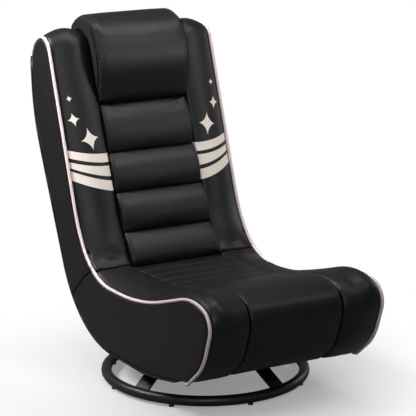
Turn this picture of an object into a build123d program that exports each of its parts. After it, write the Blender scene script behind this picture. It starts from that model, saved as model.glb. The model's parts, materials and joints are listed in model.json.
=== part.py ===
from build123d import *
import math
import os

os.makedirs("parts", exist_ok=True)

# Floor gaming chair in millimetres: X across, Y towards the back, Z up, the floor at Z = 0.
# The sitter faces -Y, so the sitter's left side is on +X.

# Upholstered body
BODY_WIDTH = 460.0
CENTRE_WIDTH = 241.0
SIDE_PANEL = 8.0
REAR_COVER = 5.0
FRONT_PAD = 28.0
PIPING_DIAMETER = 8.0
SEWN_GAP = 0.4

# Side outline corners as (y, z, rounding): nose, seat, back, top, rear, heel and belly
NOSE_LOW = (-345.0, 107.0, 12.0)
NOSE_CHIN = (-416.0, 166.0, 131.0)
NOSE_TOP = (-459.0, 290.0, 57.0)
SEAT_CREST = (-362.0, 314.0, 207.0)
SEAT_DIP = (-120.0, 235.0, 700.0)
SEAT_BACK = (126.0, 233.0, 208.0)
LUMBAR = (203.0, 349.0, 400.0)
TOP_FRONT = (361.0, 806.0, 43.0)
TOP_REAR = (453.0, 759.0, 77.0)
BACK_REAR = (441.0, 585.0, 450.0)
HEEL = (206.0, 72.0, 278.0)
BELLY = (-158.0, 72.0, 523.0)

# Fold of the back onto the seat
FOLD_Y = 168.0
FOLD_Z = 279.0
ROLL = 56.0
SIDE_ROLL = 43.0
SEAM_SLOPE = -43.0
SEAM_DROP = 36.0
CREASE_Y = 120.0
CREASE_Z = 251.0

# Channelled centre of the back, ribbed seat and head cushion
CHANNEL_MARKS = (-0.08, 0.213, 0.458, 0.702, 1.0)
CHANNEL_BULGE = 13.0
CHANNEL_BOW = 7.0
ROLL_EDGE = 6.0
HEAD_SEAM_Y = 287.0
HEAD_SEAM_Z = 627.0
HEAD_WIDTH = 252.0
HEAD_LIP = 16.0
RIB_PITCH = 52.0
RIB_COUNT = 6
RIB_GROOVE = 5.0
GROOVE_DEPTH = 3.0
MESH_THICKNESS = 3.0

# Steel frame in the body
RAIL_DIAMETER = 22.0
RAIL_WALL = 1.5
RAIL_INSET = 35.0
STRAP_WIDTH = 50.0
STRAP_THICKNESS = 2.0
BOARD_THICKNESS = 12.0
BOARD_DEPTH = 124.0

# Fold hinges
LEAF = 4.0
EYE_RADIUS = 10.0
HINGE_PIN = 8.0
HINGE_BOLT = 8.0

# Ring base and swivel bearing
SWIVEL_Y = -27.0
RING_RADIUS = 240.0
RING_TUBE = 25.0
RING_WALL = 2.0
GLIDE_HEIGHT = 4.5
GLIDE_DIAMETER = 13.0
GLIDE_COUNT = 8
SPOKE_TURN = 18.8
SPOKE_WIDTH = 40.0
SPOKE_THICKNESS = 6.0
SPOKE_BEND = 165.0
HUB_TOP = 68.0
PLATE_SIZE = 150.0
PLATE_THICKNESS = 2.0
BALL_DIAMETER = 6.0
BALL_COUNT = 8
PLATE_BOLT = 6.0
PLATE_BOLT_EDGE = 18.0
RUNNING = 0.05

HALF = BODY_WIDTH / 2
CENTRE_HALF = CENTRE_WIDTH / 2
PANEL_IN = HALF - SIDE_PANEL
PIPE_R = PIPING_DIAMETER / 2
RAIL_R = RAIL_DIAMETER / 2
RAIL_X = HALF - RAIL_INSET
BALL_CIRCLE = 0.4 * PLATE_SIZE
PLATE_BOLT_CIRCLE = PLATE_SIZE / math.sqrt(2) - PLATE_BOLT_EDGE
FAR = 1500.0
CORNERS = (
    NOSE_LOW, NOSE_CHIN, NOSE_TOP, SEAT_CREST, SEAT_DIP, SEAT_BACK,
    LUMBAR, TOP_FRONT, TOP_REAR, BACK_REAR, HEEL, BELLY,
)
FRONT_EDGE_COUNT = 8


def save(shape, name):
    shape.label = name
    export_step(shape, "parts/" + name + ".step")


def edge_offsets(front, rear):
    front = [front] * FRONT_EDGE_COUNT if isinstance(front, (int, float)) else list(front)
    edges = front + [rear] * (len(CORNERS) - FRONT_EDGE_COUNT)
    return [edge if isinstance(edge, tuple) else (edge, edge) for edge in edges]


def shifted(offsets, rounding=None):
    # Corners and roundings of the side outline, each edge moved out by an offset at both its ends
    count = len(CORNERS)
    lines = []
    for i in range(count):
        start = Vector(*CORNERS[i][:2])
        end = Vector(*CORNERS[(i + 1) % count][:2])
        along = (end - start).normalized()
        out = Vector(-along.Y, along.X)
        start += out * offsets[i][0]
        end += out * offsets[i][1]
        along = (end - start).normalized()
        lines.append((start.X, start.Y, along.X, along.Y))
    points = []
    radii = []
    turns = []
    for i in range(count):
        ay, az, ady, adz = lines[i - 1]
        by, bz, bdy, bdz = lines[i]
        cross = ady * bdz - adz * bdy
        t = ((by - ay) * bdz - (bz - az) * bdy) / cross
        points.append((ay + t * ady, az + t * adz))
        mean = (offsets[i - 1][1] + offsets[i][0]) / 2
        wanted = CORNERS[i][2] - mean * math.copysign(1.0, cross)
        if rounding and i in rounding:
            wanted = rounding[i]
        radii.append(max(wanted, 1.0))
        turns.append(math.tan(math.atan2(abs(cross), ady * bdy + adz * bdz) / 2))
    for i in range(count):
        j = (i + 1) % count
        length = math.dist(points[i], points[j])
        used = radii[i] * turns[i] + radii[j] * turns[j]
        if used > 0.97 * length:
            radii[i] *= 0.97 * length / used
            radii[j] *= 0.97 * length / used
    return points, radii


def outline(front, rear, rounding=None):
    points, radii = shifted(edge_offsets(front, rear), rounding)
    return make_face(FilletPolyline(*points, radius=radii, close=True))


def prism(front, rear, x0, x1, rounding=None):
    face = Plane.YZ.offset(x0) * outline(front, rear, rounding)
    return extrude(face, amount=x1 - x0, dir=(1, 0, 0))


def rod_x(radius, y, z, x0, x1):
    rod = Cylinder(radius, x1 - x0, align=(Align.CENTER, Align.CENTER, Align.MIN))
    return Pos(x0, y, z) * Rot(0, 90, 0) * rod


def rod_z(radius, x, y, z0, z1):
    rod = Cylinder(radius, z1 - z0, align=(Align.CENTER, Align.CENTER, Align.MIN))
    return Pos(x, y, z0) * rod


def at_fold(shape):
    return Pos(0, FOLD_Y, FOLD_Z) * shape


def fold_rod(radius, x0=-FAR, x1=FAR):
    return rod_x(radius, FOLD_Y, FOLD_Z, x0, x1)


def seam_block(s0, s1, n0, n1):
    # Block along a seam: s runs to the rear from the fold axis, n stands square to the seam
    block = Box(2 * FAR, s1 - s0, n1 - n0, align=(Align.CENTER, Align.MIN, Align.MIN))
    return at_fold(Rot(SEAM_SLOPE, 0, 0) * Pos(0, s0, n0) * block)


def zones(radius):
    # Cutters for the seat's and the back's share at a seam that rolls about the fold axis
    seat = seam_block(-FAR, FAR, -FAR, -SEAM_DROP) + seam_block(-FAR, 0, -FAR, 0)
    back = seam_block(-FAR, FAR, 0, FAR) + seam_block(0, FAR, -SEAM_DROP - 2 * SEWN_GAP, FAR)
    return seat - fold_rod(radius), back + fold_rod(radius + SEWN_GAP)


SEAT_ZONE, BACK_ZONE = zones(ROLL)
SEAT_SIDE_ZONE, BACK_SIDE_ZONE = zones(SIDE_ROLL)


def one(shape):
    # The largest solid of a cut piece
    return max(shape.solids(), key=lambda s: s.volume)


def pair(shape, name):
    save(shape, name + "_left")
    save(mirror(shape, about=Plane.YZ), name + "_right")


def both(shape):
    return Compound(children=[*shape.solids(), *mirror(shape, about=Plane.YZ).solids()])


# Foam cores behind the cushions
CORE_REAR = BOARD_THICKNESS + HUB_TOP + 12 - BELLY[1] + RAIL_DIAMETER + STRAP_THICKNESS + 0.6
CORE_HALF = RAIL_X + 8
sharp = {0: 4.0, 8: 4.0}
core = prism(-FRONT_PAD, -CORE_REAR, -CORE_HALF, CORE_HALF, sharp)
FRONT_CUT = prism(-FRONT_PAD, 60.0, -HALF, HALF, sharp)
save(one(core - SEAT_ZONE), "back_foam")
save(one(core - BACK_ZONE), "seat_foam")

# Side bolsters of the seat and back, crowned from the centre seam to the piping
inner = (0, 0, 3, (9, 24), (27, 18), (14, 24), (23, 8), 3)
crown = (5, 9, 8, (11, 23), (25, 23), (20, 23), (24, 14), 8)
bolster_x = (CENTRE_HALF + 0.5, (CENTRE_HALF + PANEL_IN) / 2, PANEL_IN - 0.2)
sections = []
for x, front, dip in zip(bolster_x, (inner, crown, 0), (40.0, 90.0, SEAT_BACK[2])):
    face = outline(front, -REAR_COVER - 0.3, {5: dip, 0: 10.0, 8: 60.0})
    sections.append(Plane.YZ.offset(x) * face)
bolster = loft(sections) - FRONT_CUT - core

# Hinge positions on the frame rails
RAIL_IN = CORE_REAR - STRAP_THICKNESS - 0.4 - RAIL_R
rail_points, rail_radii = shifted(edge_offsets(-RAIL_IN, -RAIL_IN))
top_corner = Vector(*rail_points[8])
rear_corner = Vector(*rail_points[9])
belly_corner = Vector(*rail_points[11])
nose_corner = Vector(*rail_points[0])
rail_top = top_corner + (rear_corner - top_corner).normalized() * 45
rail_end = nose_corner + (belly_corner - nose_corner).normalized() * 30
rail_path = FilletPolyline(
    rail_top, rear_corner, Vector(*rail_points[10]), belly_corner, rail_end,
    radius=[rail_radii[9], rail_radii[10], rail_radii[11]],
)
slope = math.radians(SEAM_SLOPE)


def above_seam(point):
    return (point.Y - FOLD_Z) * math.cos(slope) - (point.X - FOLD_Y) * math.sin(slope)


def on_rail(height):
    steps = [rail_path @ (i / 600) for i in range(601)]
    return min(steps, key=lambda p: abs(above_seam(p) - height))


back_bolts = [on_rail(34 - SEAM_DROP), on_rail(66 - SEAM_DROP)]
seat_bolts = [on_rail(-34 - SEAM_DROP), on_rail(-66 - SEAM_DROP)]
LEAF_IN = RAIL_X + RAIL_R + 0.1


def leaf_face(bolts, grow=0.0):
    rings = [Pos(FOLD_Y, FOLD_Z) * Circle(EYE_RADIUS + grow)]
    rings += [Pos(p.X, p.Y) * Circle(EYE_RADIUS + grow) for p in bolts]
    return Plane.YZ * make_hull([ring.edge() for ring in rings])


def leaf(bolts, x0, x1, grow=0.0):
    return extrude(Pos(x0, 0, 0) * leaf_face(bolts, grow), amount=x1 - x0, dir=(1, 0, 0))


SEAT_LEAF = (LEAF_IN, LEAF_IN + LEAF)
BACK_LEAF = (LEAF_IN + LEAF + 0.5, LEAF_IN + 2 * LEAF + 0.5)
eye_pocket = fold_rod(EYE_RADIUS + 2.5, CORE_HALF - 1, PANEL_IN - 0.1)
back_pocket = leaf(back_bolts, CORE_HALF - 1, PANEL_IN - 0.1, 1.5)
seat_pocket = leaf(seat_bolts, CORE_HALF - 1, PANEL_IN - 0.1, 1.5)
leaf_slice = Pos(SEAT_LEAF[0] - 0.5, FOLD_Y, FOLD_Z) * Box(LEAF + 1, 400, 400, align=(Align.MIN, Align.CENTER, Align.CENTER))
leaf_slot = leaf_slice & (seam_block(-100, 150, -150, 0) + fold_rod(20))
pair(one(bolster - SEAT_ZONE - eye_pocket - back_pocket - leaf_slot), "back_bolster")
pair(one(bolster - BACK_ZONE - eye_pocket - seat_pocket), "seat_bolster")

# Side panels, sewn inside the piping
RIM = PIPE_R + 1.3
panel = prism(-RIM, -RIM, PANEL_IN, HALF)
panel = fillet(panel.faces().sort_by(Axis.X)[-1].edges(), 2.5)
pair(one(panel - SEAT_SIDE_ZONE), "back_side_panel")
pair(one(panel - BACK_SIDE_ZONE), "seat_side_panel")

# Piping along the front edges, over the back's top and round the nose
pipe_points, pipe_radii = shifted(edge_offsets(-1.0, -1.0))
pipe_down = Vector(*pipe_points[8]) + (Vector(*pipe_points[9]) - Vector(*pipe_points[8])).normalized() * 72
pipe_under = Vector(*pipe_points[0]) + (Vector(*pipe_points[11]) - Vector(*pipe_points[0])).normalized() * 16
pipe_path = Plane.YZ.offset(HALF - PIPE_R) * FilletPolyline(
    pipe_under, *pipe_points[:9], pipe_down, radius=pipe_radii[:9],
)
piping = sweep(Plane(origin=pipe_path @ 0, z_dir=pipe_path % 0) * Circle(PIPE_R), path=pipe_path)
pair(one(piping - SEAT_SIDE_ZONE), "back_piping")
pair(one(piping - BACK_SIDE_ZONE), "seat_piping")

# Rear cover of the back and bottom cover of the seat
shell = prism(0, 0, -HALF, HALF) - prism(-REAR_COVER, -REAR_COVER, -HALF, HALF)
shell = shell & prism(-FRONT_PAD - 0.3, 60.0, -HALF, HALF, sharp)
shell -= both(piping)
save(one(shell - SEAT_ZONE), "back_rear_cover")
bottom = shell - BACK_ZONE - rod_z(PLATE_SIZE * 0.75, 0, SWIVEL_Y, 0, 150)
save(one(bottom), "seat_bottom_cover")

# Seat centre: ribbed pad from the crease forward, then the smooth nose pad
centre = (0, 0, 4, (10, 25), (28, 18), (14, 4), 4, 0)
seat_centre = prism(centre, -REAR_COVER - 0.3, -CENTRE_HALF, CENTRE_HALF, {5: 12.0, 0: 10.0, 8: 30.0})
seat_centre = one(seat_centre - FRONT_CUT - core - BACK_ZONE)
split_y = CREASE_Y - RIB_COUNT * RIB_PITCH
nose_block = Pos(0, split_y, 250) * Box(500, 1000, 600, align=(Align.CENTER, Align.MAX, Align.CENTER))
rib_pad = one(seat_centre - nose_block)
grooves = []
for i in range(1, RIB_COUNT):
    y = CREASE_Y - i * RIB_PITCH
    crest_z = (rib_pad & Pos(0, y, 250) * Box(500, 0.2, 600)).bounding_box().max.Z
    grooves.append(rod_x(RIB_GROOVE, y, crest_z + RIB_GROOVE - GROOVE_DEPTH, -CENTRE_HALF, CENTRE_HALF))
for groove in grooves:
    rib_pad -= groove
save(one(rib_pad), "seat_ribbed_pad")
nose_pad = one(seat_centre & nose_block)
save(nose_pad, "seat_nose_pad")

# Channelled rolls up the centre of the back
crease = Vector(CREASE_Y, CREASE_Z)
head_seam = Vector(HEAD_SEAM_Y, HEAD_SEAM_Z)
rise = (head_seam - crease).normalized()
inward = Vector(rise.Y, -rise.X)


def on_back(t):
    return crease + (head_seam - crease) * t + inward * (CHANNEL_BOW * 4 * t * (1 - t))


for i in range(len(CHANNEL_MARKS) - 1):
    low = on_back(CHANNEL_MARKS[i])
    high = on_back(CHANNEL_MARKS[i + 1])
    crest = (low + high) / 2 - inward * CHANNEL_BULGE
    face = make_face([
        ThreePointArc(low, crest, high),
        Line(high, high + inward * 75),
        Line(high + inward * 75, low + inward * 75),
        Line(low + inward * 75, low),
    ])
    roll = extrude(Plane.YZ.offset(-CENTRE_HALF) * face, amount=CENTRE_WIDTH, dir=(1, 0, 0))
    roll = fillet(roll.edges().filter_by(GeomType.CIRCLE), ROLL_EDGE)
    save(one(roll - core - SEAT_ZONE), "back_channel_" + str(i + 1))

# Head cushion over the top of the back, with mesh gussets on both ends
lip = head_seam - inward * HEAD_LIP + rise * 1.0
tuck = head_seam + inward * 20 + rise * 1.0
HEAD_POINTS = (
    (tuck.X, tuck.Y),
    (lip.X, lip.Y),
    (266.0, 735.0),
    (306.0, 820.0),
    (375.0, 843.0),
    (433.0, 815.0),
    (443.0, 731.0),
    (386.0, 731.0),
)
HEAD_ROUND = (2.0, 14.0, 150.0, 42.0, 85.0, 32.0, 3.0, 3.0)
HEAD_HALF = HEAD_WIDTH / 2
GUSSET_INSET = 12.0


def head_face(inset, x):
    face = make_face(FilletPolyline(*HEAD_POINTS, radius=HEAD_ROUND, close=True))
    if inset:
        face = offset(face, -inset)
    return Plane.YZ.offset(x) * face


beside = prism(tuple(5.0 + (i[0] if isinstance(i, tuple) else i) for i in inner), 0, CENTRE_HALF + 0.1, HALF)
head = extrude(head_face(0, -HEAD_HALF), amount=2 * HEAD_HALF, dir=(1, 0, 0))
head = fillet(head.faces().filter_by(Axis.X).edges(), 14.0)
head = one(head - core - shell - both(beside))
save(head, "headrest")
mesh = extrude(head_face(GUSSET_INSET, HEAD_HALF + 0.2), amount=MESH_THICKNESS, dir=(1, 0, 0))
pair(one(mesh - core - shell - beside), "headrest_mesh")

# Bent frame rails with their cross tubes
tube_plane = Plane(origin=Vector(RAIL_X, (rail_path @ 0).X, (rail_path @ 0).Y), z_dir=(0, (rail_path % 0).X, (rail_path % 0).Y))
rail_line = Plane.YZ.offset(RAIL_X) * rail_path
rail_full = sweep(tube_plane * Circle(RAIL_R), path=rail_line)
rail_bore = sweep(tube_plane * Circle(RAIL_R - RAIL_WALL), path=rail_line)
rail_fit = sweep(tube_plane * Circle(RAIL_R + 0.05), path=rail_line)
rail = rail_full - rail_bore


def cross_tube(point, half):
    return rod_x(RAIL_R, point.X, point.Y, -half, half) - rod_x(RAIL_R - RAIL_WALL, point.X, point.Y, -half, half)


RAIL_GAP = 14.0
top_point = rail_path @ 0
end_point = rail_path @ 1
for p in back_bolts + seat_bolts:
    rail -= rod_x(HINGE_BOLT / 2, p.X, p.Y, RAIL_X - 30, RAIL_X + 30)
for p in (top_point, end_point):
    rail -= rod_x(RAIL_R + RUNNING, p.X, p.Y, RAIL_X - 30, RAIL_X + 30)
pair(one(rail - seam_block(-FAR, FAR, -FAR, RAIL_GAP - SEAM_DROP)), "back_rail")
pair(one(rail - seam_block(-FAR, FAR, -RAIL_GAP - SEAM_DROP, FAR)), "seat_rail")
save(cross_tube(top_point, RAIL_X + RAIL_R), "back_top_tube")
save(cross_tube(end_point, RAIL_X + RAIL_R), "seat_front_tube")
low_tube = cross_tube(on_rail(150 - SEAM_DROP), RAIL_X)
save(one(low_tube - both(rail_fit)), "back_lumbar_tube")
heel_tube = cross_tube(on_rail(-110 - SEAM_DROP), RAIL_X)
save(one(heel_tube - both(rail_fit)), "seat_heel_tube")

# Webbing straps stretched over the rails behind the foam
STRAP_BACK = CORE_REAR - 0.2 - STRAP_THICKNESS
STRAP_HALF = RAIL_X + 6
web = prism(-FRONT_PAD, -STRAP_BACK, -STRAP_HALF, STRAP_HALF, sharp)
web -= prism(3.0 - FRONT_PAD, -STRAP_BACK - STRAP_THICKNESS, -STRAP_HALF, STRAP_HALF, sharp)
back_straps = []
for height in (400.0, 500.0, 600.0):
    slab = Pos(0, 0, height) * Box(600, 1200, STRAP_WIDTH)
    back_straps += (web & slab & seam_block(-FAR, FAR, 20, FAR)).solids()
save(Compound(children=back_straps), "back_straps")
seat_straps = []
for reach in (-225.0, -130.0, 60.0):
    slab = Pos(0, reach, 150) * Box(600, STRAP_WIDTH, 120)
    seat_straps += (web & slab).solids()
save(Compound(children=seat_straps), "seat_straps")

# Fold hinges: leaves bolted to the rails and riveted pins
seat_leaf = leaf(seat_bolts, *SEAT_LEAF) - fold_rod(HINGE_PIN / 2, 0)
back_leaf = leaf(back_bolts, *BACK_LEAF)
for p in back_bolts:
    back_leaf += rod_x(EYE_RADIUS - 2, p.X, p.Y, LEAF_IN, BACK_LEAF[0])
back_leaf -= fold_rod(HINGE_PIN / 2 + RUNNING, 0)
for p in seat_bolts:
    seat_leaf -= rod_x(HINGE_BOLT / 2, p.X, p.Y, 100, HALF)
for p in back_bolts:
    back_leaf -= rod_x(HINGE_BOLT / 2, p.X, p.Y, 100, HALF)
pair(seat_leaf, "hinge_seat_leaf")
pair(back_leaf, "hinge_back_leaf")
pin = fold_rod(HINGE_PIN / 2, SEAT_LEAF[0] - 2.4, BACK_LEAF[1] + 3.0)
pin += fold_rod(HINGE_PIN / 2 + 4, BACK_LEAF[1] + 0.3, BACK_LEAF[1] + 3.0)
pin += fold_rod(HINGE_PIN / 2 + 3, SEAT_LEAF[0] - 2.4, SEAT_LEAF[0])
pair(pin, "hinge_pin")


def hinge_bolts(points, outer):
    bolts = []
    for p in points:
        bolt = rod_x(HINGE_BOLT / 2, p.X, p.Y, RAIL_X - RAIL_R - 6, outer + 4)
        head = Pos(outer, p.X, p.Y) * (Plane.YZ * RegularPolygon(HINGE_BOLT * 0.8, 6))
        nut = Pos(RAIL_X - RAIL_R - 6, p.X, p.Y) * (Plane.YZ * RegularPolygon(HINGE_BOLT * 0.8, 6))
        bolt += extrude(head, amount=4.0, dir=(1, 0, 0))
        bolt += extrude(nut, amount=6.0, dir=(1, 0, 0))
        bolts += bolt.solids()
    return both(Compound(children=bolts))


save(hinge_bolts(seat_bolts, SEAT_LEAF[1]), "hinge_seat_bolts")
save(hinge_bolts(back_bolts, BACK_LEAF[1]), "hinge_back_bolts")

# Plywood board under the rails, on the swivel's upper plate
SWIVEL_TOP = HUB_TOP + 12
BOARD_TOP = SWIVEL_TOP + BOARD_THICKNESS
board = Pos(0, SWIVEL_Y, SWIVEL_TOP) * Box(
    2 * PANEL_IN - 1, BOARD_DEPTH, BOARD_THICKNESS, align=(Align.CENTER, Align.CENTER, Align.MIN)
)
board = fillet(board.edges().filter_by(Axis.Z), 12.0)
diagonals = [(PLATE_BOLT_CIRCLE * math.cos(math.radians(a)), SWIVEL_Y + PLATE_BOLT_CIRCLE * math.sin(math.radians(a))) for a in (45, 135, 225, 315)]
plate_bolts = []
tee_nuts = []
for x, y in diagonals:
    board -= rod_z(PLATE_BOLT * 0.7, x, y, 0, 300)
    bolt = rod_z(PLATE_BOLT / 2, x, y, SWIVEL_TOP - PLATE_THICKNESS, BOARD_TOP + 1)
    bolt += rod_z(PLATE_BOLT * 0.9, x, y, SWIVEL_TOP - PLATE_THICKNESS - 3.2, SWIVEL_TOP - PLATE_THICKNESS)
    plate_bolts.append(bolt)
    nut = rod_z(PLATE_BOLT * 0.7, x, y, BOARD_TOP - 8, BOARD_TOP) + rod_z(PLATE_BOLT * 1.5, x, y, BOARD_TOP, BOARD_TOP + 1.5)
    tee_nuts.append(nut - rod_z(PLATE_BOLT / 2, x, y, 0, 300))
save(Compound(children=[s for b in plate_bolts for s in b.solids()]), "upper_plate_bolts")
save(Compound(children=[s for b in tee_nuts for s in b.solids()]), "board_tee_nuts")

# Saddle clips that hold the rails down on the board
clip_z = BOARD_TOP + RAIL_R
arch = Circle(RAIL_R + 2.2) + Pos(0, -RAIL_R / 2) * Rectangle(2 * RAIL_R + 4.4, RAIL_R)
arch -= Circle(RAIL_R + 1) + Pos(0, -RAIL_R) * Rectangle(2 * RAIL_R + 2, 2 * RAIL_R)
arch -= Pos(0, -RAIL_R - 20) * Rectangle(100, 40)
arch += Pos(-RAIL_R - 10.6, 1 - RAIL_R) * Rectangle(19.2, 2)
clips = []
screws = []
for y in (SWIVEL_Y - 40, SWIVEL_Y + 5):
    clip = extrude(Plane(origin=(RAIL_X, y + 9, clip_z), x_dir=(1, 0, 0), z_dir=(0, -1, 0)) * arch, amount=18)
    hole_x = RAIL_X - RAIL_R - 13
    board -= rod_z(2.0, hole_x, y, BOARD_TOP - 10, BOARD_TOP + 1) + rod_z(2.0, -hole_x, y, BOARD_TOP - 10, BOARD_TOP + 1)
    clips += (clip - rod_z(2.0, hole_x, y, 0, 300)).solids()
    screw = rod_z(2.0, hole_x, y, BOARD_TOP - 9, BOARD_TOP + 4.4) + rod_z(4.0, hole_x, y, BOARD_TOP + 2, BOARD_TOP + 4.4)
    screws += screw.solids()
save(both(Compound(children=clips)), "rail_clips")
save(both(Compound(children=screws)), "clip_screws")


# Swivel bearing: two raced plates, caged balls and a hollow rivet
def at_swivel(shape):
    return Pos(0, SWIVEL_Y, 0) * shape


def ring_z(outer, inner, z0, z1):
    return rod_z(outer, 0, 0, z0, z1) - rod_z(inner, 0, 0, z0 - 1, z1 + 1)


def half_hoop(face, radius, z, start):
    return Rot(0, 0, start) * revolve(Plane.XZ * (Pos(radius, z) * (Rot(0, 0, 37) * face)), axis=Axis.Z, revolution_arc=180)


ball_z = (HUB_TOP + SWIVEL_TOP) / 2
groove = Circle(BALL_DIAMETER / 2 + RUNNING)
races = [half_hoop(groove, BALL_CIRCLE, ball_z, 30), half_hoop(groove, BALL_CIRCLE, ball_z, 210)]
boss = (SWIVEL_TOP - HUB_TOP) / 2 - PLATE_THICKNESS - BALL_DIAMETER / 3


def plate(z0, z1, boss0, boss1, bore, turn):
    sheet = Rot(0, 0, turn) * Pos(0, 0, z0) * Box(PLATE_SIZE, PLATE_SIZE, z1 - z0, align=(Align.CENTER, Align.CENTER, Align.MIN))
    sheet = fillet(sheet.edges().filter_by(Axis.Z), 14.0)
    sheet += ring_z(BALL_CIRCLE + 9, BALL_CIRCLE - 9, boss0, boss1)
    return sheet - rod_z(bore, 0, 0, 0, 200) - races[0] - races[1]


RIVET = 9.0
lower = plate(HUB_TOP, HUB_TOP + PLATE_THICKNESS, HUB_TOP + PLATE_THICKNESS, HUB_TOP + PLATE_THICKNESS + boss, RIVET, SPOKE_TURN + 45)
upper = plate(SWIVEL_TOP - PLATE_THICKNESS, SWIVEL_TOP, SWIVEL_TOP - PLATE_THICKNESS - boss, SWIVEL_TOP - PLATE_THICKNESS, RIVET + RUNNING, 0)
for x, y in diagonals:
    upper -= rod_z(PLATE_BOLT / 2, x, y - SWIVEL_Y, 0, 200)
spoke_holes = [(PLATE_BOLT_CIRCLE * math.cos(math.radians(SPOKE_TURN + a)), PLATE_BOLT_CIRCLE * math.sin(math.radians(SPOKE_TURN + a))) for a in (0, 90, 180, 270)]
hub_bolts = []
for x, y in spoke_holes:
    lower -= rod_z(PLATE_BOLT / 2, x, y, 0, 200)
    under = HUB_TOP - SPOKE_THICKNESS
    bolt = rod_z(PLATE_BOLT / 2, x, y, under - 6, HUB_TOP + PLATE_THICKNESS + 3)
    bolt += rod_z(PLATE_BOLT * 0.9, x, y, HUB_TOP + PLATE_THICKNESS, HUB_TOP + PLATE_THICKNESS + 3)
    bolt += Pos(x, y, under - 5) * extrude(RegularPolygon(PLATE_BOLT, 6), amount=5.0)
    hub_bolts += at_swivel(bolt).solids()
save(at_swivel(lower), "swivel_lower_plate")
save(at_swivel(upper), "swivel_upper_plate")
save(Compound(children=hub_bolts), "hub_bolts")
rivet = ring_z(RIVET, RIVET - 2, HUB_TOP - 2, SWIVEL_TOP + 2) + ring_z(RIVET + 4, RIVET - 2, HUB_TOP - 2, HUB_TOP)
rivet += ring_z(RIVET + 3, RIVET - 2, SWIVEL_TOP + 0.3, SWIVEL_TOP + 2)
save(at_swivel(rivet), "swivel_rivet")
board = one(board - at_swivel(rod_z(RIVET + 6, 0, 0, 0, BOARD_TOP + 10)))
save(board, "seat_board")
cage = ring_z(BALL_CIRCLE + 5, BALL_CIRCLE - 5, ball_z - 0.6, ball_z + 0.6)
balls = []
for i in range(BALL_COUNT):
    angle = 2 * math.pi * i / BALL_COUNT
    spot = Pos(BALL_CIRCLE * math.cos(angle), BALL_CIRCLE * math.sin(angle), ball_z)
    cage -= spot * Cylinder(BALL_DIAMETER / 2 + 0.1, 10)
    balls += at_swivel(spot * Sphere(BALL_DIAMETER / 2)).solids()
save(Compound(children=balls), "bearing_balls")
save(at_swivel(cage), "ball_cage")

# Ring base: bent tube ring, raised flat spokes and glides
RING_Z = GLIDE_HEIGHT + RING_TUBE / 2
ring_bar = Circle(RING_TUBE / 2)
ring_tube = ring_bar - Circle(RING_TUBE / 2 - RING_WALL)
ring_halves = []
glides = []
for half in range(2):
    start = SPOKE_TURN + 180 * half
    solid_half = half_hoop(ring_bar, RING_RADIUS, RING_Z, start)
    tube_half = half_hoop(ring_tube, RING_RADIUS, RING_Z, start)
    for i in range(GLIDE_COUNT // 2):
        angle = math.radians(start + 360 / GLIDE_COUNT * (i + 0.5))
        x = RING_RADIUS * math.cos(angle)
        y = RING_RADIUS * math.sin(angle)
        foot = rod_z(GLIDE_DIAMETER / 2, x, y, 0, GLIDE_HEIGHT + 1.6) - solid_half
        glides += at_swivel(foot).solids()
    ring_halves += at_swivel(tube_half).solids()
save(Compound(children=ring_halves), "base_ring")
save(Compound(children=glides), "glides")

hub_mid = HUB_TOP - SPOKE_THICKNESS / 2
reach = RING_RADIUS - RING_TUBE / 2 + 3
tilt = math.atan2(hub_mid - RING_Z, reach - SPOKE_BEND)
half_t = SPOKE_THICKNESS / 2
lean_y = half_t * math.sin(tilt)
lean_z = half_t * math.cos(tilt)
knee = half_t * math.tan(tilt / 2)
spoke_face = Polygon(
    (0, hub_mid + half_t), (SPOKE_BEND + knee, hub_mid + half_t), (reach + lean_y, RING_Z + lean_z),
    (reach - lean_y, RING_Z - lean_z), (SPOKE_BEND - knee, hub_mid - half_t), (0, hub_mid - half_t), align=None,
)
arm = extrude(Plane.XZ.offset(-SPOKE_WIDTH / 2) * spoke_face, amount=SPOKE_WIDTH, dir=(0, -1, 0))
long_spoke = arm + Rot(0, 0, 180) * arm - rod_z(RIVET + 5, 0, 0, 0, 200)
short_arm = arm - Pos(0, 0, hub_mid) * Box(SPOKE_WIDTH, 100, 40)
short_spokes = [Rot(0, 0, 90) * short_arm, Rot(0, 0, 270) * short_arm]
turn = Rot(0, 0, SPOKE_TURN)
holes = [rod_z(PLATE_BOLT / 2, x, y, 0, 200) for x, y in spoke_holes]


def fit_spoke(shape):
    shape = turn * (shape & rod_z(RING_RADIUS - RING_TUBE / 2 - 0.1, 0, 0, 0, 200))
    for hole in holes:
        shape -= hole
    return one(at_swivel(shape))


save(fit_spoke(long_spoke), "spoke_long")
save(Compound(children=[fit_spoke(s) for s in short_spokes]), "spokes_short")
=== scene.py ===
import json
import math

import bmesh
import bpy
import numpy as np
from mathutils import Matrix, Vector
from mathutils.bvhtree import BVHTree
from mathutils.kdtree import KDTree

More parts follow.
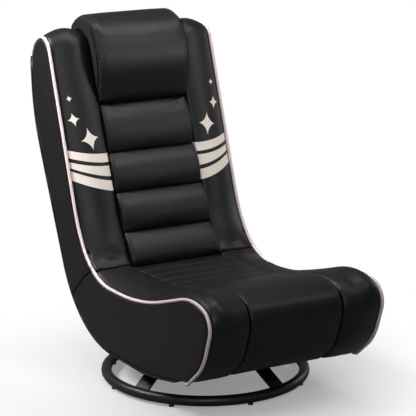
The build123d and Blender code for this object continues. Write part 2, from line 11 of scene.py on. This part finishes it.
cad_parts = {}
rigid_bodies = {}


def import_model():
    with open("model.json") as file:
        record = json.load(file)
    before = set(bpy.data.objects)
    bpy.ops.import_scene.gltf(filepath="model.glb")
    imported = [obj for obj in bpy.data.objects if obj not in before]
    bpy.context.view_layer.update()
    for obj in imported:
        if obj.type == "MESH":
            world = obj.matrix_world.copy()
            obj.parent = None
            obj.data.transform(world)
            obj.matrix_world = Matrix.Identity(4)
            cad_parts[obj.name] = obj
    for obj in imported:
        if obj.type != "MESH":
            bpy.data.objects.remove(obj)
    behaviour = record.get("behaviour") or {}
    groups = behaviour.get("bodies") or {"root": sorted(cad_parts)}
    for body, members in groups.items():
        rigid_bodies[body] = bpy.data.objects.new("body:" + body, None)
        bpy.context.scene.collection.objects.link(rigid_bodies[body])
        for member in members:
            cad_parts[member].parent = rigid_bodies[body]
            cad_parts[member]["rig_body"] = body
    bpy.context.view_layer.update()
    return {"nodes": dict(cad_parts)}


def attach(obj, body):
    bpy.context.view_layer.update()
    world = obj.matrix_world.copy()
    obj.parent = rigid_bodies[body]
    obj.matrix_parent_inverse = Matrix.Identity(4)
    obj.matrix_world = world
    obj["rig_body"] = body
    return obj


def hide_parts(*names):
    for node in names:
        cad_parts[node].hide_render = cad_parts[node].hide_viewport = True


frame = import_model()
nodes = frame["nodes"]
scene = bpy.context.scene

# Ring base: a bent steel tube ring with flat bent spokes welded across it.
# The welded base is powder coated black: satin, with a shallow orange peel and a faint cloud.
COAT_BLACK = "#111112"
COAT_SHEEN = "#1c1c1e"
COAT_PEEL_MM = 2.6
COAT_CLOUD_MM = 60.0


def linear(code):
    """Linear RGBA of an sRGB hex colour."""
    parts = [int(code[i:i + 2], 16) / 255 for i in (1, 3, 5)]
    return [c / 12.92 if c <= 0.04045 else ((c + 0.055) / 1.055) ** 2.4 for c in parts] + [1.0]


def per_metre(millimetres):
    """Pattern scale that repeats once in this many millimetres."""
    return 1000.0 / millimetres


def add(tree, kind, inputs=(), **settings):
    """One node with its settings; an input is a plain value or another node's socket."""
    made = tree.nodes.new(kind)
    for name, value in settings.items():
        setattr(made, name, value)
    for key, value in dict(inputs).items():
        if isinstance(value, bpy.types.NodeSocket):
            tree.links.new(value, made.inputs[key])
        else:
            made.inputs[key].default_value = value
    return made


def finish_of(name, roughness, metallic=0.0, specular=0.5):
    """A new material with its shader's plain values set; returns material, tree, shader."""
    made = bpy.data.materials.new(name)
    made.use_nodes = True
    shader = made.node_tree.nodes["Principled BSDF"]
    shader.inputs["Roughness"].default_value = roughness
    shader.inputs["Metallic"].default_value = metallic
    shader.inputs["Specular IOR Level"].default_value = specular
    return made, made.node_tree, shader


def placed(tree):
    """The point's place in the part frame, in metres."""
    return add(tree, "ShaderNodeTexCoord").outputs["Object"]


def speckle(tree, place, millimetres, detail):
    """A soft random pattern of this size, from 0 to 1."""
    scale = per_metre(millimetres)
    return add(tree, "ShaderNodeTexNoise", {"Vector": place, "Scale": scale, "Detail": detail}).outputs["Fac"]


def coloured(tree, shader, share, first, second):
    """Colours the shader from the first hex to the second as the share goes from 0 to 1."""
    inputs = {"Factor": share, "A": linear(first), "B": linear(second)}
    tone = add(tree, "ShaderNodeMix", inputs, data_type="RGBA").outputs["Result"]
    tree.links.new(tone, shader.inputs["Base Color"])
    return tone


def dulled(tree, shader, share, least, most):
    """Varies the shader's roughness between two values."""
    dull = add(tree, "ShaderNodeMapRange", {"Value": share, "To Min": least, "To Max": most})
    tree.links.new(dull.outputs["Result"], shader.inputs["Roughness"])


def raised(tree, shader, height, strength, metres, invert=False):
    """Raises the surface by a pattern, up to this many metres."""
    inputs = {"Height": height, "Strength": strength, "Distance": metres}
    skin = add(tree, "ShaderNodeBump", inputs, invert=invert)
    tree.links.new(skin.outputs["Normal"], shader.inputs["Normal"])
    return skin


def dressed(material, *names):
    """Puts a finish on CAD pieces whose shape stays as it is."""
    for name in names:
        mesh = nodes[name].data
        mesh.materials.clear()
        mesh.materials.append(material)


powder_coat, tree, shader = finish_of("powder_coat_satin", 0.38)
place = placed(tree)
peel = speckle(tree, place, COAT_PEEL_MM, 2.0)
cloud = speckle(tree, place, COAT_CLOUD_MM, 3.0)
coloured(tree, shader, cloud, COAT_BLACK, COAT_SHEEN)
dulled(tree, shader, peel, 0.32, 0.48)
raised(tree, shader, peel, 0.25, 0.0004)
dressed(powder_coat, "base_ring", "spoke_long", "spokes_short")

# Glides: small moulded nylon feet under the ring that keep the tube off the floor.
# Black nylon with a dull moulded skin, scuffed grey.
SCUFF_MM = 4.0
glide_nylon, tree, shader = finish_of("nylon_moulded", 0.55)
scuff = speckle(tree, placed(tree), SCUFF_MM, 4.0)
coloured(tree, shader, scuff, "#141414", "#2c2c2b")
raised(tree, shader, scuff, 0.2, 0.0003)
dressed(glide_nylon, "glides")

# Swivel bearing and fasteners: pressed steel plates, a ball race, bolts, nuts and screws.
# Bright zinc plate, slightly clouded, with drawn marks from the press.
PRESS_MARK_MM = 14.0
PRESS_STRETCH = (1.0, 12.0, 12.0)
zinc_plate, tree, shader = finish_of("zinc_plated_steel", 0.34, metallic=1.0)
drawn = add(tree, "ShaderNodeMapping", {"Vector": placed(tree), "Scale": PRESS_STRETCH})
marks = speckle(tree, drawn.outputs["Vector"], PRESS_MARK_MM, 3.0)
coloured(tree, shader, marks, "#8f9296", "#c2c5c8")
dulled(tree, shader, marks, 0.26, 0.46)
dressed(
    zinc_plate, "swivel_lower_plate", "swivel_upper_plate", "swivel_rivet", "hub_bolts", "upper_plate_bolts",
    "bearing_balls", "ball_cage", "board_tee_nuts", "rail_clips", "clip_screws", "hinge_pin_left",
    "hinge_pin_right", "hinge_seat_bolts", "hinge_back_bolts",
)

# Frame: bent tube rails, cross tubes and hinge leaves, hidden in the upholstery.
# Dip painted steel in a thin grey black coat with slight runs.
PAINT_RUN_MM = 22.0
frame_paint, tree, shader = finish_of("dip_painted_tube", 0.45)
runs = speckle(tree, placed(tree), PAINT_RUN_MM, 4.0)
coloured(tree, shader, runs, "#26282a", "#3d4043")
raised(tree, shader, runs, 0.15, 0.0005)
dressed(
    frame_paint, "back_rail_left", "back_rail_right", "seat_rail_left", "seat_rail_right", "back_top_tube",
    "seat_front_tube", "back_lumbar_tube", "seat_heel_tube", "hinge_seat_leaf_left", "hinge_seat_leaf_right",
    "hinge_back_leaf_left", "hinge_back_leaf_right",
)

# Seat board: a strip of birch plywood under the rails that the swivel plate bolts to.
# Rotary cut face veneer with long pale grain, unvarnished.
VENEER_MM = 9.0
VENEER_STRETCH = (0.12, 1.0, 6.0)
birch_ply, tree, shader = finish_of("birch_plywood", 0.62)
grainwise = add(tree, "ShaderNodeMapping", {"Vector": placed(tree), "Scale": VENEER_STRETCH})
grain = add(tree, "ShaderNodeTexNoise", {
    "Vector": grainwise.outputs["Vector"], "Scale": per_metre(VENEER_MM), "Detail": 6.0, "Distortion": 0.6,
}).outputs["Fac"]
coloured(tree, shader, grain, "#b88d5c", "#dcbf92")
raised(tree, shader, grain, 0.2, 0.0004)
dressed(birch_ply, "seat_board")

# Webbing: woven polypropylene straps stretched over the rails to carry the foam.
# Each strap is cut fine enough to sag a little, and shows its woven ribs.
STRAP_RIB_MM = 8.706
STRAP_SAG = 0.0025
STRAP_HALF_SPAN = 0.2
DIAGONAL_BAND = math.pi / (5 * math.sqrt(3))
webbing, tree, shader = finish_of("polypropylene_webbing", 0.7)
ribs = add(tree, "ShaderNodeTexWave", {
    "Vector": placed(tree), "Scale": per_metre(STRAP_RIB_MM) * DIAGONAL_BAND, "Distortion": 0.4,
}, bands_direction="DIAGONAL").outputs["Fac"]
coloured(tree, shader, ribs, "#17171a", "#38383c")
raised(tree, shader, ribs, 0.5, 0.0006)


def piece_like(name, node, material):
    """A new piece cut to the pattern of a soft CAD solid, on that solid's body."""
    mesh = nodes[node].data.copy()
    mesh.materials.clear()
    mesh.materials.append(material)
    piece = bpy.data.objects.new(name, mesh)
    scene.collection.objects.link(piece)
    shaped = bmesh.new()
    shaped.from_mesh(mesh)
    bmesh.ops.remove_doubles(shaped, verts=shaped.verts, dist=0.00001)
    shaped.to_mesh(mesh)
    shaped.free()
    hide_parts(node)
    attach(piece, nodes[node]["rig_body"])
    return piece


def sliced(piece, pitch, axes=(0, 1, 2)):
    """Cuts a piece's flat faces every pitch metres along the axes."""
    shaped = bmesh.new()
    shaped.from_mesh(piece.data)
    for axis in axes:
        reach = [v.co[axis] for v in shaped.verts]
        count = int((max(reach) - min(reach)) / pitch)
        for i in range(1, count + 1):
            across = Vector((0, 0, 0))
            across[axis] = 1.0
            start = across * (min(reach) + (max(reach) - min(reach)) * i / (count + 1))
            everything = shaped.verts[:] + shaped.edges[:] + shaped.faces[:]
            bmesh.ops.bisect_plane(shaped, geom=everything, plane_co=start, plane_no=across)
    shaped.to_mesh(piece.data)
    shaped.free()
    return piece


def points_of(piece):
    """The piece's points as an array."""
    held = np.zeros(len(piece.data.vertices) * 3)
    piece.data.vertices.foreach_get("co", held)
    return held.reshape(-1, 3)


def put_points(piece, points):
    """Moves the piece's points to the array's."""
    piece.data.vertices.foreach_set("co", np.ascontiguousarray(points).ravel())
    piece.data.update()


def rounded_off(piece):
    """Smooth shading with the crisp cut edges kept."""
    piece.data.shade_smooth()
    piece.data.set_sharp_from_angle(angle=math.radians(40))


for row, axis, sign in (("back_straps", 1, 1), ("seat_straps", 2, -1)):
    strap = sliced(piece_like(row + "_woven", row, webbing), pitch=0.02, axes=(0,))
    points = points_of(strap)
    sag = STRAP_SAG * np.cos(np.clip(points[:, 0] / STRAP_HALF_SPAN, -1, 1) * math.pi / 2)
    points[:, axis] += sag * sign
    put_points(strap, points)
    rounded_off(strap)

# Foam cores: cut polyurethane foam blocks in the seat and the back, glued to the webbing.
# Open cells give a matt, grey surface with fine pits.
CELL_MM = 3.0
cut_foam, tree, shader = finish_of("cut_polyurethane_foam", 0.92, specular=0.2)
cells = add(tree, "ShaderNodeTexVoronoi", {"Vector": placed(tree), "Scale": per_metre(CELL_MM)})
coloured(tree, shader, cells.outputs["Distance"], "#5d5d5f", "#8a8a8b")
raised(tree, shader, cells.outputs["Distance"], 0.6, 0.0010)


def settled(piece):
    """Makes the piece's modifiers part of its mesh."""
    bpy.context.view_layer.update()
    seen = piece.evaluated_get(bpy.context.evaluated_depsgraph_get())
    mesh = bpy.data.meshes.new_from_object(seen)
    piece.modifiers.clear()
    piece.data = mesh


def sewn_skin(piece, voxel, passes):
    """One even skin over the piece's pattern with its edges turned over, ready to be stuffed."""
    skin_step = piece.modifiers.new("skin", "REMESH")
    skin_step.mode = "VOXEL"
    skin_step.voxel_size = voxel
    turned = piece.modifiers.new("turned", "SMOOTH")
    turned.factor = 0.5
    turned.iterations = passes
    settled(piece)
    piece.data.shade_smooth()


for name, node in (("seat_foam_block", "seat_foam"), ("back_foam_block", "back_foam")):
    block = piece_like(name, node, cut_foam)
    sewn_skin(block, voxel=0.007, passes=1)

# Black PU leather: embossed polyurethane on a knit backing, the cover of every cushion.
# A soft sheen with a pebbled grain; the grain is drawn a little coarse so that it shows.
LEATHER_BLACK = "#0b0b0c"
LEATHER_WORN = "#121213"
GRAIN_MM = 2.2
HIDE_MM = 70.0
DRAPE_MM = 45.0


def leather(name, roughness):
    """Embossed leather: returns the material, tree, shader, place and its black."""
    made, tree, shader = finish_of(name, roughness, specular=0.28)
    place = placed(tree)
    pebble = add(tree, "ShaderNodeTexVoronoi", {
        "Vector": place, "Scale": per_metre(GRAIN_MM), "Smoothness": 0.6,
    }, feature="SMOOTH_F1")
    hide = speckle(tree, place, HIDE_MM, 4.0)
    drape = speckle(tree, place, DRAPE_MM, 2.0)
    black = coloured(tree, shader, hide, LEATHER_BLACK, LEATHER_WORN)
    dulled(tree, shader, hide, roughness - 0.06, roughness + 0.08)
    soft = add(tree, "ShaderNodeBump", {"Height": drape, "Strength": 0.12, "Distance": 0.002})
    skin = raised(tree, shader, pebble.outputs["Distance"], 0.12, 0.0003)
    tree.links.new(soft.outputs["Normal"], skin.inputs["Normal"])
    return made, tree, shader, place, black


pu_leather = leather("pu_leather_black", 0.42)[0]

# Rear and bottom covers: thin panels of black woven polyester, pulled flat over the
# frame and stapled under the seat.
WEAVE_MM = 4.524
AXIS_BAND = math.pi / 10


def worked(tree, operation, *values):
    """The result of one maths node on plain values or sockets."""
    return add(tree, "ShaderNodeMath", enumerate(values), operation=operation).outputs[0]


woven_cover, tree, shader = finish_of("woven_polyester_black", 0.72, specular=0.35)
place = placed(tree)
warp, weft = (add(tree, "ShaderNodeTexWave", {
    "Vector": place, "Scale": per_metre(WEAVE_MM) * AXIS_BAND,
}, bands_direction=way).outputs["Fac"] for way in ("X", "Z"))
cross = worked(tree, "MULTIPLY", warp, weft)
coloured(tree, shader, cross, "#131314", "#29292b")
raised(tree, shader, cross, 0.35, 0.0004)
for node in ("back_rear_cover", "seat_bottom_cover"):
    cover = sliced(piece_like(node + "_panel", node, woven_cover), pitch=0.018)
    rounded_off(cover)

# Bolsters: stuffed leather cushions along both sides of the seat and the back.
# The back pair is printed in cream with three curved stripes and three leaning stars.
# Stripes give their upper and lower edge at the seam and at the piping; stars x, z and half size.
CREAM_INK = "#e9dfd5"
SEAM_X = 0.121
PIPE_X = 0.225
STRIPE_SAG = 0.003
STRIPES = (
    ((0.513, 0.4918), (0.526, 0.508)),
    ((0.4838, 0.458), (0.4985, 0.485)),
    ((0.448, 0.424), (0.478, 0.456)),
)
STARS = (
    (0.165, 0.550, 0.024, 0.028),
    (0.197, 0.597, 0.0145, 0.017),
    (0.200, 0.646, 0.0075, 0.0078),
)
STAR_POINTED = 0.62
STAR_TURN = math.radians(-9.0)
LEFT_STARS_UP = 0.006


def between(tree, along, inner, outer):
    """A value that runs from inner at the seam to outer at the piping."""
    inputs = {"Value": along, "To Min": inner, "To Max": outer}
    return add(tree, "ShaderNodeMapRange", inputs, clamp=False).outputs[0]


printed_leather, tree, shader, place, black = leather("pu_leather_printed", 0.42)
where = add(tree, "ShaderNodeSeparateXYZ", {0: place}).outputs
side = worked(tree, "ABSOLUTE", where["X"])
along = add(tree, "ShaderNodeMapRange", {
    "Value": side, "From Min": SEAM_X, "From Max": PIPE_X,
}, clamp=False).outputs[0]
bow = worked(tree, "MULTIPLY", along, worked(tree, "SUBTRACT", 1.0, along))
hung = worked(tree, "MULTIPLY_ADD", bow, 4 * STRIPE_SAG, where["Z"])
marks = []
for (high_in, low_in), (high_out, low_out) in STRIPES:
    middle = between(tree, along, (high_in + low_in) / 2, (high_out + low_out) / 2)
    half = between(tree, along, (high_in - low_in) / 2, (high_out - low_out) / 2)
    away = worked(tree, "ABSOLUTE", worked(tree, "SUBTRACT", hung, middle))
    marks.append(worked(tree, "LESS_THAN", away, half))
on_left = worked(tree, "GREATER_THAN", where["X"], 0.0)
level = worked(tree, "MULTIPLY_ADD", on_left, -LEFT_STARS_UP, where["Z"])
for star_x, star_z, wide, tall in STARS:
    out = worked(tree, "SUBTRACT", side, star_x)
    up = worked(tree, "SUBTRACT", level, star_z)
    arms = []
    for first, second, turn, size in ((out, up, STAR_TURN, wide), (up, out, -STAR_TURN, tall)):
        part = worked(tree, "MULTIPLY", first, math.cos(turn))
        away = worked(tree, "ABSOLUTE", worked(tree, "MULTIPLY_ADD", second, math.sin(turn), part))
        arms.append(worked(tree, "POWER", worked(tree, "DIVIDE", away, size), STAR_POINTED))
    marks.append(worked(tree, "LESS_THAN", worked(tree, "ADD", *arms), 1.0))
inked = marks[0]
for mark in marks[1:]:
    inked = worked(tree, "MAXIMUM", inked, mark)
tone = add(tree, "ShaderNodeMix", {"Factor": inked, "A": black, "B": linear(CREAM_INK)}, data_type="RGBA")
tree.links.new(tone.outputs["Result"], shader.inputs["Base Color"])

FILL_PRESSURE = 4.0
FILL_FRAMES = 20
FLANK_TURN = 0.7
GLUED = 0.008


def surface_of(thing):
    """The object's faces, for finding the nearest point or a ray's hit."""
    return BVHTree.FromPolygons([v.co for v in thing.data.vertices], [p.vertices for p in thing.data.polygons])


foam_cut = {body: surface_of(nodes[body + "_foam"]) for body in ("seat", "back")}


def stuffed(piece, held, give):
    """Blows the skin out between its sewn points, no further than give metres from its pattern."""
    start = points_of(piece)
    seam = piece.vertex_groups.new(name="sewn")
    seam.add([int(i) for i in np.flatnonzero(held)], 1.0, "REPLACE")
    filling = piece.modifiers.new("filling", "CLOTH")
    filling.settings.vertex_group_mass = "sewn"
    filling.settings.use_pressure = True
    filling.settings.uniform_pressure_force = FILL_PRESSURE
    filling.settings.effector_weights.gravity = 0.0
    filling.point_cache.frame_start = 1
    filling.point_cache.frame_end = FILL_FRAMES
    for step in range(1, FILL_FRAMES + 1):
        scene.frame_set(step)
    settled(piece)
    scene.frame_set(1)
    moved = points_of(piece) - start
    far = np.linalg.norm(moved, axis=1, keepdims=True)
    put_points(piece, start + moved * np.minimum(1.0, give / np.maximum(far, 1e-9)))
    piece.vertex_groups.clear()


def normals_of(piece):
    """The piece's point normals as an array."""
    held = np.zeros(len(piece.data.vertices) * 3)
    piece.data.vertex_normals.foreach_get("vector", held)
    return held.reshape(-1, 3)


def sewn_points(piece, body):
    """True for each point on the piece's sewn flanks, or glued to the body's foam."""
    foam = foam_cut[body]
    glued = np.array([(foam.find_nearest(v.co)[3] or 1.0) < GLUED for v in piece.data.vertices])
    return (np.abs(normals_of(piece)[:, 0]) > FLANK_TURN) | glued


def smoothed(piece, passes):
    """Eases the stuffed skin and makes it finer."""
    ease = piece.modifiers.new("ease", "SMOOTH")
    ease.factor = 0.5
    ease.iterations = passes
    finer = piece.modifiers.new("finer", "SUBSURF")
    finer.levels = 1
    finer.render_levels = 1
    settled(piece)
    piece.data.shade_smooth()


def eased(share):
    """A smooth hump: 1 at share 0, down to 0 at share 1 and beyond."""
    near = np.clip(1.0 - np.abs(share), 0.0, 1.0)
    return near * near * (3.0 - 2.0 * near)


def ramp(value, start, rise):
    """0 up to start, then straight up to 1 over the rise."""
    return np.clip((value - start) / rise, 0.0, 1.0)


# The bolsters tuck in at the crease between seat and back, and stand fuller
# at the front of the seat and at the top of the back.
CREASE = (0.117, 0.268)
CREASE_REACH = 0.055
CREASE_X = 0.172
CREASE_HALF = 0.048
CREASE_TUCK = (0.004, -0.010)
PLUMP = 0.011
PLUMP_X = 0.198
PLUMP_HALF = 0.040
PLUMP_Y = -0.40
PLUMP_REACH = 0.24
PLUMP_FROM = 0.14
PLUMP_RISE = 0.14
CROWN = 0.008
CROWN_X = 0.172
CROWN_HALF = 0.062
CROWN_FROM = 0.73
CROWN_RISE = 0.05
for body, cover in (("seat", pu_leather), ("back", printed_leather)):
    for hand in ("left", "right"):
        bolster = piece_like(f"{body}_bolster_{hand}_cushion", f"{body}_bolster_{hand}", cover)
        sewn_skin(bolster, voxel=0.005, passes=2)
        points = points_of(bolster)
        out = np.abs(points[:, 0])
        from_crease = np.hypot(points[:, 1] - CREASE[0], points[:, 2] - CREASE[1])
        tuck = eased((out - CREASE_X) / CREASE_HALF) * eased(from_crease / CREASE_REACH)
        plump = eased((out - PLUMP_X) / PLUMP_HALF) * eased((points[:, 1] - PLUMP_Y) / PLUMP_REACH)
        points[:, 2] += PLUMP * plump * ramp(points[:, 2], PLUMP_FROM, PLUMP_RISE)
        crown = eased((out - CROWN_X) / CROWN_HALF) * ramp(points[:, 2], CROWN_FROM, CROWN_RISE)
        points[:, 2] += crown * CROWN
        points[:, 1] += tuck * CREASE_TUCK[0]
        points[:, 2] += tuck * CREASE_TUCK[1]
        put_points(bolster, points)
        stuffed(bolster, sewn_points(bolster, body), give=0.003)
        smoothed(bolster, passes=5)

# Side panels: flat leather panels that close the flanks inside the piping.
# They bow out slightly over a thin foam backing.
PANEL_BOW = 0.003
PANEL_EDGE = 0.05
PANEL_TURN = 0.8
side_leather = leather("pu_leather_side", 0.46)[0]
for body in ("seat", "back"):
    for hand, out in (("left", 1), ("right", -1)):
        node = f"{body}_side_panel_{hand}"
        panel = piece_like(f"{body}_side_{hand}_cover", node, side_leather)
        sewn_skin(panel, voxel=0.0035, passes=2)
        face = normals_of(panel)[:, 0] * out > PANEL_TURN
        points = points_of(panel)
        rim = KDTree(int(np.sum(~face)))
        for i, spot in enumerate(points[~face]):
            rim.insert(spot, i)
        rim.balance()
        inside = np.array([rim.find(spot)[2] for spot in points]) / PANEL_EDGE
        points[:, 0] += face * out * PANEL_BOW * (1.0 - eased(inside))
        put_points(panel, points)
        smoothed(panel, passes=3)

# Seat centre: a pad with sewn cross ribs, and the smooth pad that rolls over the nose.
# Both are leather over soft foam; the nose pad is topstitched along its side seams.
STITCH_PITCH = 0.0065
STITCH_SIZE = (0.0022, 0.0006, 0.0005)
STITCH_STEPS = 1200
NOSE_ROWS = (-0.112, 0.112)
NOSE_MIDDLE = (-0.30, 0.20)
NOSE_TURNS = (-50.0, 85.0)
thread, tree, shader = finish_of("polyester_thread", 0.5)
shader.inputs["Base Color"].default_value = linear("#2c2c2e")


def stitched(name, piece, rows, middle, turns):
    """Rows of thread stitches on a cushion's skin, one at each x of rows, round a middle (y, z)."""
    skin = surface_of(piece)
    sewn = bmesh.new()
    for x in rows:
        last = None
        for i in range(STITCH_STEPS):
            turn = math.radians(turns[0] + (turns[1] - turns[0]) * i / (STITCH_STEPS - 1))
            ray = Vector((0.0, -math.cos(turn), math.sin(turn)))
            spot, normal = skin.ray_cast(Vector((x, *middle)) + ray, -ray)[:2]
            if spot is None or (last is not None and (spot - last).length < STITCH_PITCH):
                continue
            if last is not None and (spot - last).length < 2 * STITCH_PITCH:
                along = (spot - last).normalized()
                across = normal.cross(along).normalized()
                lie = Matrix((along, across, along.cross(across))).transposed().to_4x4()
                at = Matrix.Translation((spot + last) / 2) @ lie @ Matrix.Diagonal((*STITCH_SIZE, 1.0))
                bmesh.ops.create_icosphere(sewn, subdivisions=2, radius=1.0, matrix=at)
            last = spot
    mesh = bpy.data.meshes.new(name)
    sewn.to_mesh(mesh)
    sewn.free()
    mesh.materials.append(thread)
    mesh.shade_smooth()
    row = bpy.data.objects.new(name, mesh)
    scene.collection.objects.link(row)
    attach(row, piece["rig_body"])


ribbed = piece_like("seat_ribbed_cushion", "seat_ribbed_pad", pu_leather)
sewn_skin(ribbed, voxel=0.0025, passes=1)
nose = piece_like("seat_nose_cushion", "seat_nose_pad", pu_leather)
sewn_skin(nose, voxel=0.005, passes=2)
stuffed(nose, sewn_points(nose, "seat"), give=0.003)
smoothed(nose, passes=3)
stitched("seat_nose_stitching", nose, NOSE_ROWS, NOSE_MIDDLE, NOSE_TURNS)

# Back rolls: four stuffed channels across the middle of the back.
# Each is pulled in at its seams and sewn down along its rear face.
ROLL_COUNT = 4
ROLL_REAR_TURN = 0.3
for i in range(1, ROLL_COUNT + 1):
    roll = piece_like(f"back_roll_{i}", f"back_channel_{i}", pu_leather)
    sewn_skin(roll, voxel=0.004, passes=1)
    rear = normals_of(roll)[:, 1] > ROLL_REAR_TURN
    stuffed(roll, sewn_points(roll, "back") | rear, give=0.002)
    smoothed(roll, passes=2)

# Head cushion: a firm pillow over the top of the back, leather in front, on top and behind.
# Its two ends are black spacer mesh, knitted with rows of small lozenge holes drawn coarse,
# with painted shade in the holes, and a double row of topstitching follows the leather's edge.
KNIT_MM = 9.0
MESH_TURN = 0.62
HEAD_ROWS = (-0.113, -0.107, 0.107, 0.113)
HEAD_MIDDLE = (0.36, 0.72)
HEAD_TURNS = (-60.0, 100.0)
spacer_mesh, tree, shader = finish_of("spacer_mesh_black", 0.85, specular=0.06)
where = add(tree, "ShaderNodeSeparateXYZ", {0: placed(tree)}).outputs
waves = []
for sign in (1.0, -1.0):
    slant = worked(tree, "MULTIPLY_ADD", where["Y"], sign, where["Z"])
    waves.append(worked(tree, "SINE", worked(tree, "MULTIPLY", slant, math.pi * per_metre(KNIT_MM))))
holes_and_painted_shade = worked(tree, "ABSOLUTE", worked(tree, "MULTIPLY", *waves))
# Painted shade: the holes are coloured near black, darker than the yarn, for the shade inside them.
coloured(tree, shader, holes_and_painted_shade, "#2d2d30", "#010101")
raised(tree, shader, holes_and_painted_shade, 1.0, 0.0025, invert=True)
for hand in ("left", "right"):
    gusset = piece_like(f"head_mesh_{hand}", f"headrest_mesh_{hand}", spacer_mesh)
    sewn_skin(gusset, voxel=0.0015, passes=2)
pillow = piece_like("head_pillow", "headrest", pu_leather)
sewn_skin(pillow, voxel=0.004, passes=2)
stuffed(pillow, sewn_points(pillow, "back"), give=0.0012)
smoothed(pillow, passes=6)
pillow.data.materials.append(spacer_mesh)
for face in pillow.data.polygons:
    face.material_index = int(abs(face.normal.x) > MESH_TURN)
stitched("head_stitching", pillow, HEAD_ROWS, HEAD_MIDDLE, HEAD_TURNS)

# Piping: a round cord in a strip of cream pink fabric, sewn into the side seams.
# The bias cut fabric twists round the cord in fine slanted ridges. The rear run
# of the back's piping goes on down the edge, leaning with it.
TWIST_MM = 3.0
TWIST_SLANT = 0.8
REAR_Y = 0.42
REAR_RUN_TOP = 0.735
REAR_RUN_LONGER = 0.95
REAR_LEAN = 0.069
piping_twill, tree, shader = finish_of("bias_piping_cream", 0.55, specular=0.4)
where = add(tree, "ShaderNodeSeparateXYZ", {0: placed(tree)}).outputs
rising = worked(tree, "ADD", where["Y"], where["Z"])
slant = worked(tree, "MULTIPLY_ADD", where["X"], TWIST_SLANT, rising)
ridge = worked(tree, "SINE", worked(tree, "MULTIPLY", slant, 2 * math.pi * per_metre(TWIST_MM)))
ridge = add(tree, "ShaderNodeMapRange", {"Value": ridge, "From Min": -1.0}).outputs[0]
coloured(tree, shader, ridge, "#e0cbc8", "#efdfdc")
raised(tree, shader, ridge, 0.5, 0.0005)
for body in ("seat", "back"):
    for hand in ("left", "right"):
        cord = piece_like(f"{body}_piping_{hand}_cord", f"{body}_piping_{hand}", piping_twill)
        sewn_skin(cord, voxel=0.0016, passes=2)
        points = points_of(cord)
        below = np.clip(REAR_RUN_TOP - points[:, 2], 0.0, 1.0)
        run = np.where(points[:, 1] > REAR_Y, below, 0.0) * REAR_RUN_LONGER
        points[:, 2] -= run
        points[:, 1] -= run * REAR_LEAN
        put_points(cord, points)

# Studio: a pale floor that keeps the chair's soft shadow, a white surround, and soft
# boxes above, in front and at both sides. Glossy rays see the surround dimmed.
FLOOR_SIZE = 60.0
FLOOR_NEAR = 0.25
FLOOR_FAR = 0.68
FLOOR_VEIL = 0.25
GLOSSY_SHARE = 0.12
WORLD_FILL = 0.08
bpy.ops.mesh.primitive_plane_add(size=FLOOR_SIZE)
floor = bpy.context.object
floor.name = "floor"


def seen_white(tree):
    """How white the surround is to a ray: full for camera and transmission, dimmed for glossy."""
    rays = add(tree, "ShaderNodeLightPath").outputs
    glossy = worked(tree, "MULTIPLY", rays["Is Glossy Ray"], GLOSSY_SHARE)
    shiny = worked(tree, "MAXIMUM", glossy, rays["Is Transmission Ray"])
    return worked(tree, "MAXIMUM", rays["Is Camera Ray"], shiny)


floor_paint, tree, shader = finish_of("studio_floor", 0.8, specular=0.1)
reach = add(tree, "ShaderNodeVectorMath", {0: placed(tree)}, operation="LENGTH").outputs["Value"]
veil = add(tree, "ShaderNodeMapRange", {
    "Value": reach, "From Min": FLOOR_NEAR, "From Max": FLOOR_FAR, "To Min": FLOOR_VEIL,
}, interpolation_type="SMOOTHSTEP").outputs["Result"]
white = seen_white(tree)
coloured(tree, shader, white, "#626262", "#f6f6f6")
glow = add(tree, "ShaderNodeEmission", {"Color": (1.0, 1.0, 1.0, 1.0), "Strength": 1.0})
mixed = add(tree, "ShaderNodeMixShader", {
    0: worked(tree, "MULTIPLY", veil, white), 1: shader.outputs[0], 2: glow.outputs[0],
})
tree.links.new(mixed.outputs[0], tree.nodes["Material Output"].inputs["Surface"])
floor.data.materials.append(floor_paint)

world = bpy.data.worlds.new("studio")
scene.world = world
world.use_nodes = True
tree = world.node_tree
backdrop = tree.nodes["Background"]
backdrop.inputs["Color"].default_value = (1.0, 1.0, 1.0, 1.0)
level = add(tree, "ShaderNodeMapRange", {"Value": seen_white(tree), "To Min": WORLD_FILL, "To Max": 1.0})
tree.links.new(level.outputs[0], backdrop.inputs["Strength"])

for name, spot, aim, size, spread, watts in (
    ("overhead", (0.0, 0.1, 2.3), (0.0, 0.1, 0.4), 1.2, 180.0, 16.0),
    ("high_right", (1.1, -1.1, 2.9), (0.0, 0.3, 0.85), 1.2, 45.0, 2.6),
    ("front_right", (1.6, -1.9, 1.5), (-0.2, 0.4, 1.0), 0.7, 30.0, 1.0),
    ("high_left", (-1.2, 0.7, 1.6), (-0.2, 0.4, 0.8), 0.8, 60.0, 8.0),
    ("fill_front", (-2.0, -3.4, 2.3), (0.0, 0.0, 0.4), 1.6, 180.0, 42.0),
    ("edge_right", (2.6, 0.4, 1.0), (0.2, 0.0, 0.4), 0.8, 180.0, 6.0),
):
    lamp = bpy.data.lights.new(name, "AREA")
    lamp.shape = "SQUARE"
    lamp.size = size
    lamp.spread = math.radians(spread)
    lamp.energy = watts
    box = bpy.data.objects.new(name, lamp)
    scene.collection.objects.link(box)
    box.location = spot
    box.rotation_euler = (Vector(aim) - Vector(spot)).to_track_quat("-Z", "Y").to_euler()

# Camera: a long lens at the height and side of the photograph.
CAMERA_SPOT = (-2.221, -3.929, 1.5425)
CAMERA_TURN = -29.73
CAMERA_DROP = 14.08
LENS_PIXELS = 1945.7
PHOTO_PIXELS = 416
camera = bpy.data.cameras.new("camera")
camera.sensor_width = 36.0
camera.lens = LENS_PIXELS / PHOTO_PIXELS * camera.sensor_width
camera.clip_end = 200.0
viewer = bpy.data.objects.new("camera", camera)
scene.collection.objects.link(viewer)
viewer.location = CAMERA_SPOT
viewer.rotation_euler = (math.radians(90.0 - CAMERA_DROP), 0.0, math.radians(CAMERA_TURN))
scene.camera = viewer
scene.view_settings.view_transform = "Standard"
